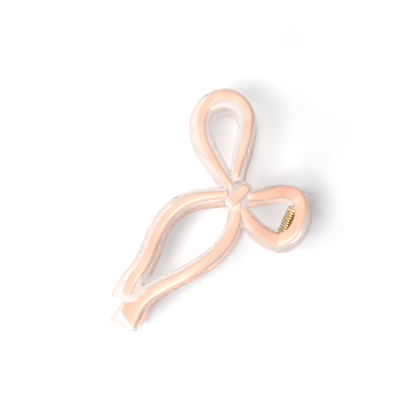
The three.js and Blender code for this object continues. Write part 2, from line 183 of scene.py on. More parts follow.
# The boss under the knot, as (height over the ribbons' middle, radius).
HUB_RINGS = ((-2.1, 3.6), (-1.6, 4.2), (0.0, 4.7), (1.7, 5.0), (2.1, 4.7))
HUB_CORNERS = 40
PILLOW_RINGS = 56
PILLOW_CORNERS = 128
PILLOW_SQUARENESS = 3.0  # of the section across a pillow
PILLOW_END_DROP = 0.35  # how soon a pillow's top drops towards its ends
STRIPE_DEPTH = 1.6
STRIPE_CROWN = 0.5
STRIPE_END_SQUARENESS = 4.5
SLEEVE_FOOT = 0.3
SLEEVE_END_SQUARENESS = 2.8
FOLD_PLACES = (2.9, 3.6, 4.3)  # from the middle of the sleeve, across the stripe
FOLD_SPREAD = 0.22
FOLD_DEPTH = 0.45

# ---- The stage ----
FLOOR_HALF = 4.0  # metres
CAMERA_PLACE = Vector((40.16, 2.61, 536.94))
CAMERA_TURN = (4.579, 2.286, 113.557)  # degrees
LIT_POINT = Vector((0.0, 0.0, 0.015))  # metres in the frame, where the lights are aimed
# Each light's direction in the camera's axes, its distance and size in metres, and the setting of its power.
LIGHTS = {
    "Key light": ((-0.33, -0.12, 0.92), 2.8, 1.0, "key_power"),
    "Low softbox": ((-0.55, -0.75, 0.62), 2.6, 1.2, "low_power"),
    "Side softbox": ((-0.5, 0.05, 0.86), 3.0, 2.0, "side_power"),
}
BOUNCES = {"glossy_bounces": 12, "transmission_bounces": 16, "max_bounces": 24, "transparent_max_bounces": 24}


# ---- Property groups ----
def distance(name, description, default):
    """A length, its default given in millimetres."""
    return bpy.props.FloatProperty(name=name, description=description, default=default * MM, unit="LENGTH")


def number(name, description, default, **more):
    """A plain number, with its limits or its unit."""
    return bpy.props.FloatProperty(name=name, description=description, default=default, **more)


def count(name, description, default, least):
    return bpy.props.IntProperty(name=name, description=description, default=default, min=least)


def colour(name, description, default):
    return bpy.props.FloatVectorProperty(
        name=name, description=description, default=default, size=3, subtype="COLOR"
    )


class ClawClipBow(bpy.types.PropertyGroup):
    """Sizes of the moulded bow that each jaw is."""

    half_thickness: distance("Half Thickness", "Half the ribbons' thickness", 2.5)
    squareness: number("Squareness", "How square the ribbons' rounded section is", 2.6, min=2.0)
    voxel: distance("Mould Detail", "Size of the finest feature of the moulding", 0.33)
    fillet_passes: count("Fillet Passes", "How far the moulding's inner corners are eased", 5, 0)
    band_half_depth: distance("Band Half Depth", "Half the depth of a coloured band", 1.5)
    band_lift: distance("Band Lift", "From the ribbon's middle to the band's", 1.5)
    band_squareness: number("Band Squareness", "How square a band's section is", 3.6, min=2.0)


class ClawClipKnot(bpy.types.PropertyGroup):
    """Sizes of the sleeve and stripe over the knot."""

    length: distance("Sleeve Length", "Along the stripe", 13.8)
    width: distance("Sleeve Width", "Across the stripe", 10.8)
    height: distance("Sleeve Height", "Above the ribbons", 2.1)
    stripe_length: distance("Stripe Length", "Length of the coloured stripe", 10.2)
    stripe_width: distance("Stripe Width", "Width of the coloured stripe", 4.3)


class ClawClipHinge(bpy.types.PropertyGroup):
    """Sizes of the lugs, pin, spring and teeth."""

    lug_radius: distance("Lug Radius", "Round end of a lug", 2.9)
    lug_thickness: distance("Lug Thickness", "Along the hinge", 1.3)
    lug_root: distance("Lug Root", "Height of a lug's root over the hinge line", 6.2)
    pin_radius: distance("Pin Radius", "Radius of the hinge pin", 1.0)
    wire: distance("Wire Diameter", "Diameter of the spring's wire", 0.86)
    coil_radius: distance("Coil Radius", "To the middle of the wire", 2.75)
    turns: count("Turns", "Whole turns of the coil", 11, 1)
    pitch: distance("Pitch", "From one turn to the next", 1.13)
    leg_length: distance("Leg Length", "Length of each leg of the spring", 5.5)
    leg_lean: number(
        "Leg Lean", "Angle between a leg and the plane between the jaws", math.radians(29), subtype="ANGLE"
    )
    tooth_root: distance("Tooth Root Radius", "Radius at the root", 1.5)
    tooth_tip: distance("Tooth Tip Radius", "Radius at the tip", 0.65)
    tooth_reach: distance("Tooth Reach", "Past the plane between the jaws", 3.2)


class ClawClipFinish(bpy.types.PropertyGroup):
    """Colours of the plastics and metals."""

    clear: colour("Clear Tint", "Tint of the clear plastic", (0.86, 0.815, 0.795))
    # Painted reflection: the peach of the bands, laid on where the clear plastic is seen edge on
    clear_edge_painted_reflection: colour("Clear Edge", "Clear plastic seen edge on", (0.93, 0.63, 0.53))
    band_light: colour("Band Light", "Paler peach", (1.0, 0.605, 0.465))
    band_deep: colour("Band Deep", "Deeper peach", (0.985, 0.52, 0.375))
    brass: colour("Brass", "Bright brass plating", (0.87, 0.62, 0.24))
    brass_dark: colour("Toned Brass", "Toned plating", (0.52, 0.32, 0.10))
    # Painted shade: a dark brown laid where the brass is seen edge on and between the spring's turns
    brass_painted_shade: colour("Brass Edge", "Plating in hollows and seen edge on", (0.10, 0.05, 0.015))


class ClawClipStage(bpy.types.PropertyGroup):
    """Floor, lights and camera."""

    floor: colour("Floor", "Colour of the floor", (0.918, 0.924, 0.93))
    key_power: number("Key Power", "Power of the main light", 32.0, unit="POWER")
    low_power: number("Low Softbox Power", "Power of the low side light", 15.6, unit="POWER")
    side_power: number("Side Softbox Power", "Power of the large softbox", 28.0, unit="POWER")
    sky: number("Sky", "Strength of the surrounding light", 0.41)
    tent: number("Tent", "Strength of the white tent seen in reflections and through plastic", 0.9)
    focal_length: number("Focal Length", "Camera lens, in millimetres", 105.9)


class ClawClipSettings(bpy.types.PropertyGroup):
    """Everything that a user would change on the clip."""

    bow: bpy.props.PointerProperty(type=ClawClipBow)
    knot: bpy.props.PointerProperty(type=ClawClipKnot)
    hinge: bpy.props.PointerProperty(type=ClawClipHinge)
    finish: bpy.props.PointerProperty(type=ClawClipFinish)
    stage: bpy.props.PointerProperty(type=ClawClipStage)


# ---- Curves and stations ----
def through(points, share):
    """A point at a share of the smooth curve through points, and the curve's direction there."""
    points = np.asarray(points, float)
    ends = np.vstack([2 * points[0] - points[1], points, 2 * points[-1] - points[-2]])
    place = share * (len(points) - 1)
    low = int(min(max(math.floor(place), 0), len(points) - 2))
    w = place - low
    a, b, c, d = ends[low : low + 4]
    before, here, after = (math.sqrt(np.linalg.norm(q - p)) for p, q in ((a, b), (b, c), (c, d)))
    leave = ((b - a) / before - (c - a) / (before + here) + (c - b) / here) * here
    arrive = ((c - b) / here - (d - b) / (here + after) + (d - c) / after) * here
    square = -3 * b + 3 * c - 2 * leave - arrive
    cube = 2 * b - 2 * c + leave + arrive
    return b + leave * w + square * w**2 + cube * w**3, leave + 2 * square * w + 3 * cube * w**2


def eased(values, share):
    """Values given at even steps, read smoothly at a share of the way."""
    place = min(max(share, 0.0), 1.0) * (len(values) - 1)
    low = min(int(place), len(values) - 2)
    w = place - low
    a = values[max(low - 1, 0)]
    b, c = values[low], values[low + 1]
    d = values[min(low + 2, len(values) - 1)]
    leave, arrive = (c - a) / 2, (d - b) / 2
    return b + leave * w + (3 * (c - b) - 2 * leave - arrive) * w**2 + (2 * (b - c) + leave + arrive) * w**3


PROFILE_LINE = np.array([through(PROFILE, share)[0] for share in np.linspace(0, 1, 600)])


def surface_height(y):
    return float(np.interp(y, PROFILE_LINE[:, 0], PROFILE_LINE[:, 1]))


def surface_normal(y):
    slope = surface_height(y + 0.5) - surface_height(y - 0.5)
    return Vector((0.0, -slope, 1.0)).normalized()


def station(ribbon, share):
    """Centre, sideways, upward and forward directions of a ribbon at a share of its path, in millimetres."""
    plan, ahead = through(ribbon["path"], share)
    up = surface_normal(plan[1])
    along = Vector((ahead[0], ahead[1], -up.y / up.z * ahead[1])).normalized()
    centre = Vector((plan[0], plan[1], surface_height(plan[1])))
    return centre, up.cross(along).normalized(), up, along


def share_at(ribbon, x, shares):
    """The share of a ribbon, within a stretch of it, where it crosses x."""
    stretch = np.linspace(shares[0], shares[1], 400)
    return float(min(stretch, key=lambda share: abs(through(ribbon["path"], share)[0][0] - x)))


# ---- Node helpers ----
def feed(tree, socket, value):
    """Links a socket or sets its value."""
    if isinstance(value, bpy.types.NodeSocket):
        tree.links.new(value, socket)
    elif value is not None:
        socket.default_value = value


def add_node(tree, kind, inputs=None, **properties):
    """A node with its properties set and its inputs linked or set by name or index."""
    node = tree.nodes.new(kind)
    for name, value in properties.items():
        setattr(node, name, value)
    for key, value in (inputs or {}).items():
        feed(tree, node.inputs[key], value)
    return node


def maths(tree, operation, *values):
    """A Math node's result."""
    return add_node(tree, "ShaderNodeMath", dict(enumerate(values)), operation=operation).outputs[0]


def vector_maths(tree, operation, first, second):
    """A Vector Math node's result: a number for a dot product, otherwise a vector."""
    slot = 3 if operation == "SCALE" else 1
    node = add_node(tree, "ShaderNodeVectorMath", {0: first, slot: second}, operation=operation)
    return node.outputs[1 if operation == "DOT_PRODUCT" else 0]


def ramp(tree, value, low, high, kind="LINEAR"):
    """How far a value is between two limits, from 0 to 1."""
    limits = {"Value": value, "From Min": low, "From Max": high}
    return add_node(tree, "ShaderNodeMapRange", limits, interpolation_type=kind).outputs[0]


def object_place(tree):
    return tree.nodes.new("ShaderNodeTexCoord").outputs["Object"]


def noise(tree, place, scale, detail):
    inputs = {"Vector": place, "Scale": scale, "Detail": detail}
    return add_node(tree, "ShaderNodeTexNoise", inputs).outputs[0]


def blend(tree, factor, first, second):
    """A mix of two colours, each a socket or a triple."""
    mix = add_node(tree, "ShaderNodeMix", {"Factor": factor}, data_type="RGBA")
    for slot, colour_in in ((6, first), (7, second)):
        is_socket = isinstance(colour_in, bpy.types.NodeSocket)
        feed(tree, mix.inputs[slot], colour_in if is_socket else (*colour_in, 1.0))
    return mix.outputs[2]


def new_group(name, kind, inputs, outputs):
    """An empty node group with its sockets, and its input and output nodes."""
    tree = bpy.data.node_groups.new(name, kind)
    for in_out, sockets in (("INPUT", inputs), ("OUTPUT", outputs)):
        for label, socket_type, default in sockets:
            socket = tree.interface.new_socket(label, in_out=in_out, socket_type=socket_type)
            if default is not None:
                socket.default_value = default
    return tree, tree.nodes.new("NodeGroupInput").outputs, tree.nodes.new("NodeGroupOutput").inputs


def run_geometry_nodes(holder, tree, values):
    """Runs a geometry node group on an object and returns the result as a plain mesh."""
    modifier = holder.modifiers.new("Build", "NODES")
    modifier.node_group = tree
    for item in tree.interface.items_tree:
        if item.item_type == "SOCKET" and item.in_out == "INPUT" and item.name in values:
            modifier[item.identifier] = values[item.name]
    evaluated = holder.evaluated_get(bpy.context.evaluated_depsgraph_get())
    mesh = bpy.data.meshes.new_from_object(evaluated)
    holder.modifiers.remove(modifier)
    if not mesh.polygons:
        raise RuntimeError(f"{tree.name} made nothing on {holder.name}")
    return mesh


# ---- Geometry node groups ----
def geometry_group(name, inputs):
    """A geometry node group that takes geometry, the given inputs and a material, and makes geometry."""
    geometry = ("Geometry", "NodeSocketGeometry", None)
    material = ("Material", "NodeSocketMaterial", None)
    return new_group(name, "GeometryNodeTree", (geometry, *inputs, material), (geometry,))


def stored(tree, name, kind="FLOAT"):
    """The value of a named attribute."""
    return add_node(tree, "GeometryNodeInputNamedAttribute", {"Name": name}, data_type=kind).outputs[0]


def store(tree, geometry, name, value, kind="FLOAT"):
    """Geometry with a value kept on it as a named attribute."""
    inputs = {"Geometry": geometry, "Name": name, "Value": value}
    return add_node(tree, "GeometryNodeStoreNamedAttribute", inputs, data_type=kind).outputs[0]


def tube_along(tree, path, corners, radius=1.0):
    """A round section swept along a path, closed at both ends."""
    size = {"Resolution": corners, "Radius": radius}
    ring = add_node(tree, "GeometryNodeCurvePrimitiveCircle", size).outputs[0]
    inputs = {"Curve": path, "Profile Curve": ring, "Fill Caps": True}
    return add_node(tree, "GeometryNodeCurveToMesh", inputs).outputs[0]


def moved_to(tree, geometry, place):
    return add_node(tree, "GeometryNodeSetPosition", {"Geometry": geometry, "Position": place}).outputs[0]


def hand_out(tree, geometry, given, result):
    """Ends a group: instances made real, the material set and the geometry passed out."""
    plain = add_node(tree, "GeometryNodeRealizeInstances", {"Geometry": geometry}).outputs[0]
    coloured = add_node(tree, "GeometryNodeSetMaterial", {"Geometry": plain, "Material": given["Material"]})
    feed(tree, result["Geometry"], coloured.outputs[0])
    return tree


def ribbon_tree():
    """Sweeps a rounded section, wider on one side than the other, along a line of stations."""
    tree, given, result = geometry_group(
        "Ribbon Sweep",
        (
            ("Half Thickness", "NodeSocketFloat", 0.0025),
            ("Squareness", "NodeSocketFloat", 2.6),
            ("Lift", "NodeSocketFloat", 0.0),
        ),
    )
    directions = ("centre", "side", "up", "along")
    centre, side, up, along = (stored(tree, name, "FLOAT_VECTOR") for name in directions)
    line = add_node(tree, "GeometryNodeMeshToCurve", {"Mesh": given["Geometry"]}).outputs[0]
    turned = add_node(tree, "GeometryNodeSetCurveNormal", {"Curve": line, "Normal": up}, mode="FREE")
    tube = tube_along(tree, turned.outputs[0], SIDE_POINTS)
    offset = vector_maths(tree, "SUBTRACT", tree.nodes.new("GeometryNodeInputPosition").outputs[0], centre)
    power = maths(tree, "DIVIDE", 2.0, given["Squareness"])

    def squared(direction):
        """The section's place along a direction, from -1 to 1, squared off."""
        place = vector_maths(tree, "DOT_PRODUCT", offset, direction)
        size = maths(tree, "POWER", maths(tree, "ABSOLUTE", place), power)
        return maths(tree, "MULTIPLY", maths(tree, "SIGN", place), size)

    sideways = squared(side)
    on_left = maths(tree, "GREATER_THAN", sideways, 0.0)
    wider = maths(tree, "SUBTRACT", stored(tree, "left"), stored(tree, "right"))
    half_width = maths(tree, "MULTIPLY_ADD", on_left, wider, stored(tree, "right"))
    across = maths(tree, "MULTIPLY", sideways, half_width)
    half_height = maths(tree, "MULTIPLY", given["Half Thickness"], stored(tree, "swell"))
    height = maths(tree, "MULTIPLY", squared(up), half_height)
    raised = maths(tree, "ADD", height, given["Lift"])
    sheared = maths(tree, "MULTIPLY", across, stored(tree, "slant"))
    place = centre
    for direction, amount in ((side, across), (up, raised), (along, sheared)):
        place = vector_maths(tree, "ADD", place, vector_maths(tree, "SCALE", direction, amount))
    return hand_out(tree, moved_to(tree, tube, place), given, result)


def teeth_tree():
    """Stands a tapered, hooked tooth on every root point, long enough to pass the plane between the jaws."""
    tree, given, result = geometry_group(
        "Teeth",
        (
            ("Root Radius", "NodeSocketFloat", 0.0015),
            ("Tip Radius", "NodeSocketFloat", 0.00065),
            ("Bow", "NodeSocketFloat", TOOTH_BOW * MM),
            ("Hook", "NodeSocketFloat", TOOTH_HOOK * MM),
        ),
    )
    back = maths(tree, "MULTIPLY", given["Bow"], -1.0)
    ends = {
        "Resolution": 14,
        "Start": (0.0, 0.0, 0.0),
        "Middle": add_node(tree, "ShaderNodeCombineXYZ", {"Y": back, "Z": -0.45}).outputs[0],
        "End": add_node(tree, "ShaderNodeCombineXYZ", {"Y": given["Hook"], "Z": -1.0}).outputs[0],
    }
    spine = add_node(tree, "GeometryNodeCurveQuadraticBezier", ends).outputs[0]
    share = tree.nodes.new("GeometryNodeSplineParameter").outputs["Factor"]
    point = tree.nodes.new("GeometryNodeInputPosition").outputs[0]
    narrowing = maths(tree, "SUBTRACT", given["Tip Radius"], given["Root Radius"])
    taper = maths(tree, "MULTIPLY_ADD", share, narrowing, given["Root Radius"])
    named = store(tree, spine, "spine", point, "FLOAT_VECTOR")
    tube = tube_along(tree, store(tree, named, "girth", taper), ROUND_CORNERS)
    spine_point = stored(tree, "spine", "FLOAT_VECTOR")
    out = vector_maths(tree, "SUBTRACT", point, spine_point)
    level = vector_maths(tree, "MULTIPLY", out, (1.0, 1.0, 0.0))
    round_out = add_node(tree, "ShaderNodeVectorMath", {0: level}, operation="NORMALIZE").outputs[0]
    place = vector_maths(tree, "SCALE", round_out, stored(tree, "girth"))
    place = vector_maths(tree, "ADD", spine_point, place)
    sizes = {"X": 1.0, "Y": 1.0, "Z": stored(tree, "drop")}
    stretch = add_node(tree, "ShaderNodeCombineXYZ", sizes).outputs[0]
    points = add_node(tree, "GeometryNodeMeshToPoints", {"Mesh": given["Geometry"]}).outputs[0]
    inputs = {"Points": points, "Instance": moved_to(tree, tube, place), "Scale": stretch}
    row = add_node(tree, "GeometryNodeInstanceOnPoints", inputs).outputs[0]
    return hand_out(tree, row, given, result)


def spring_tree():
    """Bends a straight wire into a coil with a leg along each finger tab, and gives it its thickness."""
    tree, given, result = geometry_group(
        "Torsion Spring",
        (
            ("Wire Diameter", "NodeSocketFloat", 0.00086),
            ("Coil Radius", "NodeSocketFloat", 0.00275),
            ("Turns", "NodeSocketInt", 11),
            ("Pitch", "NodeSocketFloat", 0.00113),
            ("Leg Length", "NodeSocketFloat", 0.0055),
            ("Leg Lean", "NodeSocketFloat", math.radians(29)),
            ("Middle", "NodeSocketVector", (0.0, 0.0, 0.0)),
        ),
    )
    whole = maths(tree, "MULTIPLY", given["Turns"], 2 * math.pi)
    part = maths(tree, "MULTIPLY_ADD", given["Leg Lean"], -2.0, math.pi)
    sweep = maths(tree, "ADD", whole, part)
    start = maths(tree, "SUBTRACT", -math.pi / 2, given["Leg Lean"])
    width = maths(tree, "MULTIPLY", maths(tree, "DIVIDE", sweep, 2 * math.pi), given["Pitch"])
    coil = maths(tree, "MULTIPLY", sweep, given["Coil Radius"])
    total = maths(tree, "MULTIPLY_ADD", given["Leg Length"], 2.0, coil)

    straight = add_node(tree, "GeometryNodeCurvePrimitiveLine").outputs[0]
    wire = add_node(tree, "GeometryNodeResampleCurve", {"Curve": straight, "Count": WIRE_POINTS}).outputs[0]
    share = tree.nodes.new("GeometryNodeSplineParameter").outputs["Factor"]
    run = maths(tree, "SUBTRACT", maths(tree, "MULTIPLY", share, total), given["Leg Length"])
    wound = add_node(tree, "ShaderNodeClamp", {"Value": maths(tree, "DIVIDE", run, coil)}).outputs[0]
    over = maths(tree, "SUBTRACT", run, maths(tree, "MULTIPLY", wound, coil))
    angle = maths(tree, "SUBTRACT", start, maths(tree, "MULTIPLY", wound, sweep))
    cosine = maths(tree, "COSINE", angle)
    sine = maths(tree, "SINE", angle)
    y = maths(tree, "MULTIPLY_ADD", cosine, given["Coil Radius"], maths(tree, "MULTIPLY", sine, over))
    z_turn = maths(tree, "MULTIPLY", sine, given["Coil Radius"])
    z = maths(tree, "SUBTRACT", z_turn, maths(tree, "MULTIPLY", cosine, over))
    x = maths(tree, "MULTIPLY", maths(tree, "SUBTRACT", wound, 0.5), width)
    bent = add_node(tree, "ShaderNodeCombineXYZ", {"X": x, "Y": y, "Z": z}).outputs[0]
    path = moved_to(tree, wire, vector_maths(tree, "ADD", bent, given["Middle"]))
    radius = maths(tree, "DIVIDE", given["Wire Diameter"], 2.0)
    return hand_out(tree, tube_along(tree, path, ROUND_CORNERS, radius), given, result)


# ---- Mesh helpers ----
# Attributes that the geometry node groups read or leave on a mesh.
SWEEP_VALUES = (
    "centre", "side", "up", "along", "left", "right", "swell", "slant", "spine", "girth", "drop",
)


def new_object(name, mesh):
    piece = bpy.data.objects.new(name, mesh)
    bpy.context.scene.collection.objects.link(piece)
    return piece


def forget(*objects):
    for leftover in objects:
        bpy.data.objects.remove(leftover)


def finish_mesh(mesh, jaw="front", smooth_angle=40.0):
    """Mirrors a rear piece, merges doubles, points faces outwards and brings the mesh into the frame."""
    body = bmesh.new()
    body.from_mesh(mesh)
    if jaw == "rear":
        bmesh.ops.scale(body, vec=(1.0, 1.0, -1.0), verts=body.verts)
    bmesh.ops.remove_doubles(body, verts=body.verts, dist=0.001 * MM)
    bmesh.ops.recalc_face_normals(body, faces=body.faces)
    bmesh.ops.translate(body, vec=ORIGIN, verts=body.verts)
    body.to_mesh(mesh)
    body.free()
    for name in SWEEP_VALUES:
        if name in mesh.attributes:
            mesh.attributes.remove(mesh.attributes[name])
    mesh.shade_smooth()
    mesh.set_sharp_from_angle(angle=math.radians(smooth_angle))
    return mesh


def modified(mesh, *steps):
    """A mesh with modifiers applied in order, each given as (type, settings)."""
    holder = new_object("holder", mesh)
    for kind, settings in steps:
        modifier = holder.modifiers.new(kind.title(), kind)
        for name, value in settings.items():
            setattr(modifier, name, value)
    evaluated = holder.evaluated_get(bpy.context.evaluated_depsgraph_get())
    result = bpy.data.meshes.new_from_object(evaluated)
    forget(holder)
    return result


def to_mesh(body, name):
    """A new mesh of a bmesh, which is freed."""
    mesh = bpy.data.meshes.new(name)
    body.to_mesh(mesh)
    body.free()
    return mesh


def joined(meshes):
    """One mesh holding all the others, side by side."""
    body = bmesh.new()
    for mesh in meshes:
        body.from_mesh(mesh)
    return to_mesh(body, "joined")


def lofted(rings):
    """A closed skin over rings of points, each with the same number of corners."""
    body = bmesh.new()
    rows = [[body.verts.new(point) for point in ring] for ring in rings]
    for low, high in zip(rows, rows[1:]):
        for i in range(len(low)):
            j = (i + 1) % len(low)
            body.faces.new((low[i], low[j], high[j], high[i]))
    body.faces.new(reversed(rows[0]))
    body.faces.new(rows[-1])
    bmesh.ops.recalc_face_normals(body, faces=body.faces)
    return to_mesh(body, "lofted")


def circle(radius, corners):
    """The corners of a circle, as pairs."""
    angles = (2 * math.pi * i / corners for i in range(corners))
    return [(radius * math.cos(a), radius * math.sin(a)) for a in angles]


def revolved(profile, corners=48):
    """A solid turned about the x axis from (x, radius) pairs."""
    return lofted([[Vector((x, y, z)) for y, z in circle(radius, corners)] for x, radius in profile])


def set_material(mesh, material):
    mesh.materials.clear()
    mesh.materials.append(material)


# ---- Bow ----
def station_line(stations, left, right, swell, slant):
    """A line of stations with everything that the ribbon sweep reads stored on it."""
    mesh = bpy.data.meshes.new("stations")
    centres = [centre * MM for centre, _, _, _ in stations]
    mesh.from_pydata(centres, [(i, i + 1) for i in range(len(centres) - 1)], [])
    numbers = {
        "left": [width * MM for width in left],
        "right": [width * MM for width in right],
        "swell": swell,
        "slant": slant,
    }
    vectors = {
        "centre": centres,
        "side": [side for _, side, _, _ in stations],
        "up": [up for _, _, up, _ in stations],
        "along": [along for _, _, _, along in stations],
    }
    for name, values in numbers.items():
        mesh.attributes.new(name, "FLOAT", "POINT").data.foreach_set("value", values)
    for name, values in vectors.items():
        flat = np.array([tuple(value) for value in values]).ravel()
        mesh.attributes.new(name, "FLOAT_VECTOR", "POINT").data.foreach_set("vector", flat)
    return new_object("stations", mesh)


def swept(tree, line, values):
    mesh = run_geometry_nodes(line, tree, values)
    forget(line)
    return mesh


def corner_cut(ribbon, far):
    """How much narrower a ribbon is, that far before its end, where its end's corners are rounded."""
    corner = ribbon["corner"]
    if far >= corner:
        return 0.0
    into = 1 - far / corner
    return corner * (1 - math.sqrt(1 - into * into))


def ribbon_mesh(tree, ribbon, settings, material):
    stations = [station(ribbon, share) for share in RIBBON_SHARES]
    end = stations[-1][0]
    cuts = [corner_cut(ribbon, (end - centre).length) for centre, _, _, _ in stations]
    left, right = (
        [eased(ribbon[edge], share) - cut for share, cut in zip(RIBBON_SHARES, cuts)]
        for edge in ("left", "right")
    )
    line = station_line(stations, left, right, [1.0] * len(stations), [0.0] * len(stations))
    values = {
        "Half Thickness": settings.half_thickness,
        "Squareness": settings.squareness,
        "Lift": 0.0,
        "Material": material,
    }
    return swept(tree, line, values)


def smooth_step(value):
    value = min(max(value, 0.0), 1.0)
    return value * value * (3 - 2 * value)


def band_mesh(tree, ribbon, settings, material):
    start, end = ribbon["trim"]
    shares = np.linspace(start, 1.0 - end, BAND_STATIONS)
    middle, half = ([eased(ribbon[key], share) for share in shares] for key in ("band_middle", "band_half"))
    stations = []
    for share, offset in zip(shares, middle):
        centre, side, up, along = station(ribbon, share)
        stations.append((centre + side * offset, side, up, along))
    steps = [(b[0] - a[0]).length for a, b in zip(stations, stations[1:])]
    runs = np.concatenate([[0], np.cumsum(steps)])
    swell = []
    for run in runs:
        size = 1.0
        for far, radius in ((run, ribbon["round_end"][0]), (runs[-1] - run, ribbon["round_end"][1])):
            if radius:
                size = min(size, math.sqrt(max(1 - (1 - min(far / radius, 1)) ** 2, BLUNTEST_END**2)))
        swell.append(size)
    ends = [smooth_step((share - FLARE_FROM) / FLARE_RUN) for share in shares]
    left = [width * size for width, size in zip(half, swell)]
    right = [(width + ribbon["flare"] * grown) * size for width, grown, size in zip(half, ends, swell)]
    line = station_line(stations, left, right, swell, [ribbon["slant"] * grown for grown in ends])
    values = {
        "Half Thickness": settings.band_half_depth,
        "Squareness": settings.band_squareness,
        "Lift": settings.band_lift,
        "Material": material,
    }
    return swept(tree, line, values)


def teeth_mesh(tree, jaw, hinge, material):
    roots = []
    for row in TOOTH_ROWS:
        ribbon = RIBBONS[row["ribbon"]]
        for i in range(row["count"]):
            x = row["first"] + TOOTH_SHIFT[jaw] + i * TOOTH_SPACING
            share = share_at(ribbon, x, row["shares"])
            centre, side, _, _ = station(ribbon, share)
            edge = eased(ribbon[row["edge"]], share) - hinge.tooth_root / MM
            roots.append((centre + side * row["sign"] * edge) * MM)
    mesh = bpy.data.meshes.new("tooth roots")
    mesh.from_pydata(roots, [], [])
    drops = [root.z + hinge.tooth_reach for root in roots]
    mesh.attributes.new("drop", "FLOAT", "POINT").data.foreach_set("value", drops)
    holder = new_object("tooth roots", mesh)
    values = {"Root Radius": hinge.tooth_root, "Tip Radius": hinge.tooth_tip, "Material": material}
    result = run_geometry_nodes(holder, tree, values)
    forget(holder)
    return result


def lug_mesh(x, hinge):
    """A round-ended plate down to the hinge line; the hole for the pin is drilled later, through the whole
    moulded bow.
    """
    centre = HINGE_IN_PLAN * MM
    radius = hinge.lug_radius
    arc = [math.pi + math.pi * i / 24 for i in range(25)]
    outline = [(math.cos(a) * radius, math.sin(a) * radius) for a in arc]
    outline += [(radius, hinge.lug_root), (-radius, hinge.lug_root)]
    faces = (x * MM, x * MM + hinge.lug_thickness)
    rings = [[Vector((centre.x + side, centre.y + y, z)) for y, z in outline] for side in faces]
    return lofted(rings)


def hinge_bore(hinge):
    """The rod of space that the pin turns in, for cutting the lugs."""
    bore = revolved([(x * MM, BORE_RADIUS * MM) for x in (-BORE_REACH, BORE_REACH)], 32)
    bore.transform(Matrix.Translation(HINGE_IN_PLAN * MM))
    return bore


def hub_mesh():
    """The boss under the knot where the ribbons meet."""
    centre = Vector((*KNOT_CENTRE, surface_height(KNOT_CENTRE[1])))
    rings = []
    for height, radius in HUB_RINGS:
        rings.append([(centre + Vector((x, y, height))) * MM for x, y in circle(radius, HUB_CORNERS)])
    return lofted(rings)


def bow_mesh(jaw, trees, settings, material):
    """A whole clear jaw: ribbons, boss, teeth and lugs grown together as one moulding."""
    bow, hinge = settings.bow, settings.hinge
    solids = [ribbon_mesh(trees["ribbon"], ribbon, bow, material) for ribbon in RIBBONS.values()]
    solids.append(hub_mesh())
    solids.append(teeth_mesh(trees["teeth"], jaw, hinge, material))
    inner = LUG_INNER[jaw]
    thickness = hinge.lug_thickness / MM
    solids += [lug_mesh(x, hinge) for x in (HINGE_IN_PLAN.x - inner - thickness, HINGE_IN_PLAN.x + inner)]
    moulded = modified(joined(solids), ("REMESH", {"mode": "VOXEL", "voxel_size": bow.voxel}))
    cutter = new_object("bore", hinge_bore(hinge))
    drilled = modified(
        moulded,
        ("BOOLEAN", {"operation": "DIFFERENCE", "solver": "EXACT", "object": cutter}),
        ("REMESH", {"mode": "VOXEL", "voxel_size": bow.voxel}),
        ("SMOOTH", {"factor": 0.5, "iterations": bow.fillet_passes}),
    )
    forget(cutter)
    set_material(drilled, material)
    return drilled


# ---- Knot ----
def rounded(value, squareness):
    """A sine or cosine reshaped so that it draws a squarer circle."""
    return math.copysign(abs(value) ** (2 / squareness), value)


def pillow(length, width, low, high, end_squareness, folds=()):
    """A rounded bar lying on the knot and turned to its direction, with folds pressed along its top."""
    turn = Matrix.Rotation(math.radians(KNOT_TURN), 3, "Z")
    knot = Vector((*KNOT_CENTRE, 0.0)) * MM
    middle, half_height = (low + high) / 2, (high - low) / 2
    rings = []
    for i in range(1, PILLOW_RINGS):
        share = -math.cos(math.pi * i / PILLOW_RINGS)
        size = (1 - abs(share) ** end_squareness) ** (1 / end_squareness)
        ring = []
        for x, y in circle(1.0, PILLOW_CORNERS):
            across = rounded(x, PILLOW_SQUARENESS) * size * width / 2
            rise = rounded(y, PILLOW_SQUARENESS)
            z = middle + rise * half_height * size**PILLOW_END_DROP
            if rise > 0:
                pressed = (depth * math.exp(-(((across - at) / spread) ** 2)) for at, spread, depth in folds)
                z -= sum(pressed) * size
            ring.append(turn @ Vector((share * length / 2, across, 0.0)) + knot + Vector((0, 0, z)))
        rings.append(ring)
    return lofted(rings)


# ---- Materials ----
def handling_group():
    """Fine scratches and finger smudges, as masks, over the surface of a handled object."""
    tree, given, result = new_group(
        "Handling Marks",
        "ShaderNodeTree",
        (("Scale", "NodeSocketFloat", 1.0), ("Scratch Width", "NodeSocketFloat", 0.02)),
        (("Scratches", "NodeSocketFloat", None), ("Smudges", "NodeSocketFloat", None)),
    )
    scaled = vector_maths(tree, "SCALE", object_place(tree), given["Scale"])
    lines = []
    for turn, stretch in ((0.5, (30.0, 1900.0, 400.0)), (2.1, (1700.0, 40.0, 500.0))):
        turned = add_node(
            tree, "ShaderNodeMapping", {"Vector": scaled, "Rotation": (0.3, 0.2, turn), "Scale": stretch}
        ).outputs[0]
        near = maths(tree, "ABSOLUTE", maths(tree, "SUBTRACT", noise(tree, turned, 1.0, 1.0), 0.5))
        lines.append(maths(tree, "LESS_THAN", near, maths(tree, "MULTIPLY", given["Scratch Width"], 0.3)))
    worn = maths(tree, "GREATER_THAN", noise(tree, scaled, 90.0, 3.0), 0.56)
    feed(tree, result["Scratches"], maths(tree, "MULTIPLY", maths(tree, "MAXIMUM", *lines), worn))
    feed(tree, result["Smudges"], ramp(tree, noise(tree, scaled, 55.0, 4.0), 0.42, 0.68, "SMOOTHSTEP"))
    return tree


